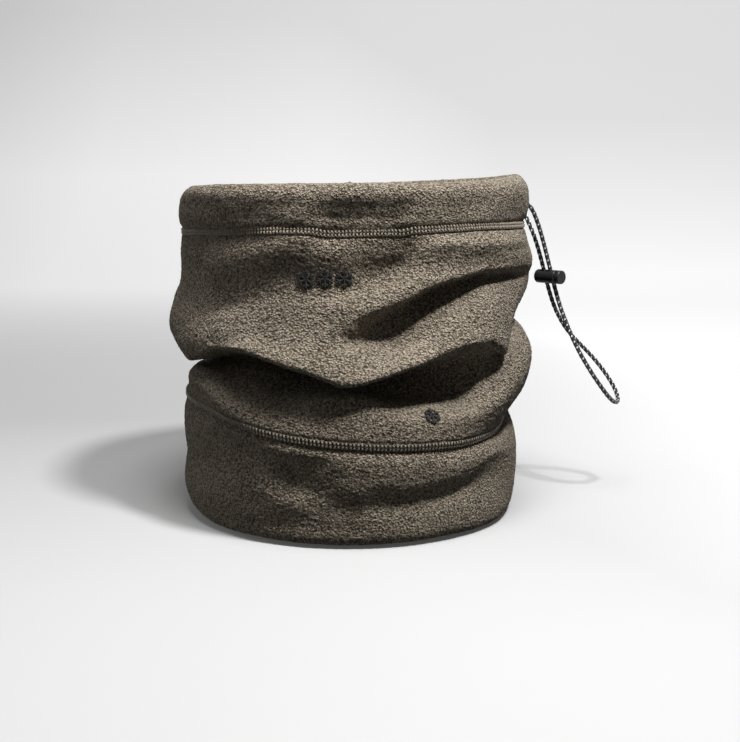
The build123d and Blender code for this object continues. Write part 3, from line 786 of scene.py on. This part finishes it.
def coverstitch(face, hidden, prefix):
    """Needle rows, the thread that runs to and fro between them, and the loops on the inside."""
    rows = [hidden + row for row in SEAM_ROWS]
    count = int(round(2 * math.pi * SEAM_RADIUS / STITCH))
    step = len(face.points) / count
    needle, cover, looper = Strands(), Strands(), Strands()
    inside = -(PANEL_THICKNESS + 0.25)
    for k in range(count):
        start = k * step
        for row in rows:
            spots = [(start + step * t, row) for t in (0.10, 0.35, 0.65, 0.90)]
            face.lay(needle, spots, (-0.15, 0.16, 0.16, -0.15), THREAD)
        for row_a, row_b in zip(rows, rows[1:]):
            middle, reach = (row_a + row_b) / 2, (row_b - row_a) / 2
            lean = 0.12 if k % 2 else -0.12
            spots = [(start + step * lean * t, middle + reach * t) for t in (-0.72, -0.3, 0.3, 0.72)]
            face.lay(cover, spots, (0.10, 0.52, 0.52, 0.10), 0.46, 6, 0.80)
            spots = [(start + step * t, middle + reach * 0.84 * rise)
                     for t, rise in ((0, -1), (0.45, -0.2), (0.55, 0.2), (1, 1))]
            face.lay(looper, spots, (inside, inside - 0.2, inside - 0.2, inside), 0.30, 5)
    # the needle rows' darker thread is painted shade of their grooves
    for kind, strands, node, thread in (("needle", needle, "threads", PAINTED_SHADE_NEEDLE_THREAD),
                                        ("cover", cover, "thread", SEAM_THREAD),
                                        ("looper", looper, "thread", SEAM_THREAD)):
        made = strands.object(f"{prefix}_{kind}_stitches", thread)
        attach(made, f"{prefix}_{kind}_{node}")


def join_stitches(face, node, first, last):
    """Flat-lock stitches over the join at the back, from first to last millimetres down the cloth."""
    half = JOIN_HALF * len(face.points) / (2 * math.pi * JOIN_RADIUS)
    strands = Strands()
    for k in range(int((last - first) / JOIN_STITCH)):
        low = first + k * JOIN_STITCH
        for way in (-1, 1):
            face.lay(strands, [(way * half, low + t) for t in (0.15, 0.5, 1.0, 1.35)],
                     (-0.05, 0.34, 0.34, -0.05), THREAD)
        for way in (-1, 1):
            spots = [(way * half * t, low + JOIN_STITCH / 2 * (1 + t)) for t in (-0.85, -0.4, 0.0, 0.4, 0.85)]
            face.lay(strands, spots, (0.1, 0.6, 1.15, 0.6, 0.1), 0.24, 5)
    attach(strands.object(node + "_join_stitches", SEAM_THREAD), node + "_join_thread")


faces = {node: Face(surface) for node, surface in surfaces.items()}
panel_from_top, panel_from_low = faces["main_panel"], Face(surfaces["main_panel"], from_end=True)
coverstitch(panel_from_top, TOP_ALLOWANCE, "top")
coverstitch(panel_from_low, 0.0, "low")
join_stitches(panel_from_top, "main_panel", 7.4, panel_from_top.arc[0, -1] - 7.4)
join_stitches(faces["bottom_band"], "bottom_band", 1.2, 44.0)
join_stitches(faces["top_band"], "top_band", 1.2, 17.0)


# ------------------------------------------------------------ embroidery

def snow_crystal(strands, face, azimuth, height, size):
    """A six-armed crystal in satin stitch, with a pair of barbs on every arm."""
    column, distance = face.column_at(azimuth), face.distance_at(azimuth, height)
    panel_radius, pitch = 86.0, 0.28
    per_mm = len(face.points) / (2 * math.pi * panel_radius)

    def bar(start, end, width):
        run = end - start
        length = np.linalg.norm(run)
        run = run / length
        reach = np.array([-run[1], run[0]]) * width / 2 + run * 0.10
        for k in range(max(2, int(length / pitch))):
            middle = start + run * (k + 0.5) * pitch
            spots = [middle + reach * t for t in (-1, -0.45, 0.45, 1)]
            face.lay(strands, [(column + x * per_mm, distance + y) for x, y in spots],
                     (0.30, 0.85, 0.85, 0.30), 0.21, 5, 0.9)

    def pointing(angle):
        return np.array([math.cos(angle), math.sin(angle)])

    half = size / 2
    for turn in range(6):
        angle = math.radians(60 * turn + 30)
        bar(pointing(angle) * 0.3, pointing(angle) * half, 0.95)
        fork = pointing(angle) * half * 0.60
        for side in (-1, 1):
            bar(fork, fork + pointing(angle + side * math.radians(58)) * half * 0.39, 0.75)


upper_mark, lower_mark = Strands(), Strands()
for crystal_azimuth in (-13.2, -7.5, -1.8):
    snow_crystal(upper_mark, panel_from_top, crystal_azimuth, 120.0, 8.2)
snow_crystal(lower_mark, panel_from_low, 24.0, 59.0, 7.6)
attach(upper_mark.object("upper_crystals", DARK_THREAD), "upper_embroidery")
attach(lower_mark.object("lower_crystal", DARK_THREAD), "lower_embroidery")


# ------------------------------------------------------------ eyelets and label

def eyelet(name, azimuth):
    """A hole bound with thread: close radial wraps over three rings."""
    out = azimuth_vector(azimuth)
    side = np.array([-out[1], out[0], 0.0])
    up = np.array([0.0, 0.0, 1.0])
    centre = out * EYELET_RADIUS + up * EYELET_Z
    strands = Strands()

    def spot(angle, radius, height):
        return centre + (side * math.cos(angle) + up * math.sin(angle)) * radius * MM + out * height * MM

    for radius, height in ((1.75, 0.0), (2.35, 0.12), (2.95, 0.0)):
        ring = [spot(angle, radius, height) for angle in np.linspace(0, 2 * math.pi, 49)]
        strands.tube(ring, 0.34 * MM, 6, 1.0, out)
    for angle in np.linspace(0, 2 * math.pi, 44, endpoint=False):
        profile = ((1.42, -0.5), (1.50, 0.15), (1.95, 0.50), (2.65, 0.52), (3.20, 0.22), (3.45, -0.15))
        strands.tube([spot(angle, r, h) for r, h in profile], 0.20 * MM, 5, 1.0, out)
    attach(strands.object(name + "_wraps", SEAM_THREAD), name)


for eyelet_name, eyelet_azimuth in EYELETS.items():
    eyelet(eyelet_name, eyelet_azimuth)


def care_label():
    """Blank woven tape that hangs from the top seam inside the back, curled a little at its free end."""
    half_width, length, thick, wide, tall = 13.0, 30.0, 0.35, 40, 46
    seam_radius, bend = 80.1, 80.0
    x = np.linspace(-half_width, half_width, wide + 1)[:, None]
    t = np.linspace(0, 1, tall + 1)[None, :]
    curl = 0.5 * np.sin(x * 0.35 + 1.0) * t + 1.3 * t**2 * (x / half_width) ** 2 + 0.8 * t**2
    height = 134.0 - length * t + 0 * x
    azimuths = 180 + np.degrees(x[:, 0] / bend)
    layers = [around(np.stack([seam_radius - curl - offset, height], axis=-1), azimuths)
              for offset in (0.0, thick)]
    index = np.arange((wide + 1) * (tall + 1)).reshape(wide + 1, tall + 1)
    quads = np.stack([index[:-1, :-1], index[1:, :-1], index[1:, 1:], index[:-1, 1:]], axis=-1).reshape(-1, 4)
    rim = np.concatenate([index[:-1, 0], index[-1, :-1], index[:0:-1, -1], index[0, :0:-1]])
    walls = np.stack([np.roll(rim, -1), rim, rim + index.size, np.roll(rim, -1) + index.size], axis=-1)
    made = np.concatenate([quads, quads[:, ::-1] + index.size, walls]).tolist()
    label = new_object("blank_label_tape", np.concatenate(layers).reshape(-1, 3), made, LABEL)
    attach(label, "care_label")
    tacks = Strands()
    for i in range(13):
        shifts = np.array([-0.75, -0.3, 0.3, 0.75]) - 12.0 + 2.0 * i
        lifts = (-0.1, 0.3, 0.3, -0.1)
        path = [azimuth_vector(180 + math.degrees(shift / bend)) * (seam_radius - thick - lift) * MM
                + np.array([0.0, 0.0, 0.1326]) for shift, lift in zip(shifts, lifts)]
        tacks.tube(path, 0.2 * MM)
    attach(tacks.object("label_stitches", SEAM_THREAD))


care_label()


# ------------------------------------------------------------ CAD pieces that stay

SLOT_MATERIALS = {
    "fleece": FLEECE, "seam_thread": SEAM_THREAD, "embroidery_thread": DARK_THREAD, "shock_cord": CORD_COVER,
    "lock_plastic": PLASTIC, "spring_steel": STEEL, "label_tape": LABEL,
}
for row in frame["record"]["subparts"]:
    node = frame["nodes"][row["node"]]
    node.data.materials.clear()
    node.data.materials.append(SLOT_MATERIALS[row["material_slot"]])


# ------------------------------------------------------------ stage and light

def stage_floor():
    """Pale paper that sweeps up behind the gaiter. Its emission is painted light that stands for the studio's
    other lamps: weakest on the floor in front of and round the gaiter, strongest up the sweep, and dimmer
    towards the left and the top.
    """
    bend, wall = 0.9, 3.2
    profile = [(-2.2, 0.0), (bend, 0.0)]
    turn = np.linspace(0.05, math.pi / 2, 24)
    profile += [(bend + bend * math.sin(t), bend - bend * math.cos(t)) for t in turn]
    profile += [(2 * bend, wall)]
    vertices = [(x, y, z) for y, z in profile for x in (-3.0, 3.0)]
    quads = [(2 * i, 2 * i + 1, 2 * i + 3, 2 * i + 2) for i in range(len(profile) - 1)]
    f = Finish("floor_paper")
    place = f.node("SeparateXYZ", {0: f.where}).outputs
    back = f.calculate("ADD", f.total((place["Y"], 1.0), (place["Z"], 2.0)), 0.6)
    aside = f.calculate("MINIMUM", f.calculate("MAXIMUM", place["X"], -0.05), 0.25)
    back = f.calculate("ADD", f.calculate("DIVIDE", back, 3.6), f.total((aside, 0.5)))
    side = f.calculate("ADD", f.total((place["X"], 0.7)), 0.45)
    # painted light: a glow graded by how far back and up the paper a point is, and by its side
    glow = f.mix(1.0, f.ramp(back, (0.10, 0.06), (0.20, 0.045), (0.44, 0.73), (0.62, 0.80), (0.86, 0.62)),
                 f.ramp(side, (0.0, 0.72), (0.16, 0.86), (0.5, 0.97), (0.74, 1.0)), "MULTIPLY")
    paper = f.shade(Base_Color=f.ramp(f.noise(3.0, 2.0), (0.3, 0.55), (0.7, 0.57)), Roughness=0.9,
                    Specular_IOR_Level=0.1, Emission_Color=glow, Emission_Strength=1.0)
    floor = new_object("floor", vertices, quads, paper)
    floor.visible_diffuse = False


def area_light(name, place, target, size, power):
    """A round lamp that points at a target."""
    light = link(name, bpy.data.lights.new(name, "AREA"))
    light.data.shape = "DISK"
    light.data.size = size
    light.data.energy = power
    light.location = place
    look_along(light, Vector(target) - Vector(place))


stage_floor()
area_light("key", (0.228, -0.318, 0.730), (0.0, 0.0, 0.06), 0.10, 6.1)
area_light("top", (0.02, -0.27, 0.930), (0.0, 0.0, 0.06), 0.34, 4.6)
area_light("fill", (-0.90, 0.05, 0.350), (0.0, 0.0, 0.08), 0.60, 1.3)
SCENE.world = bpy.data.worlds.new("studio")
SCENE.world.use_nodes = True
background = SCENE.world.node_tree.nodes["Background"]
background.inputs["Color"].default_value = (1, 1, 1, 1)
background.inputs["Strength"].default_value = 0.07
SCENE.view_settings.view_transform = "Standard"
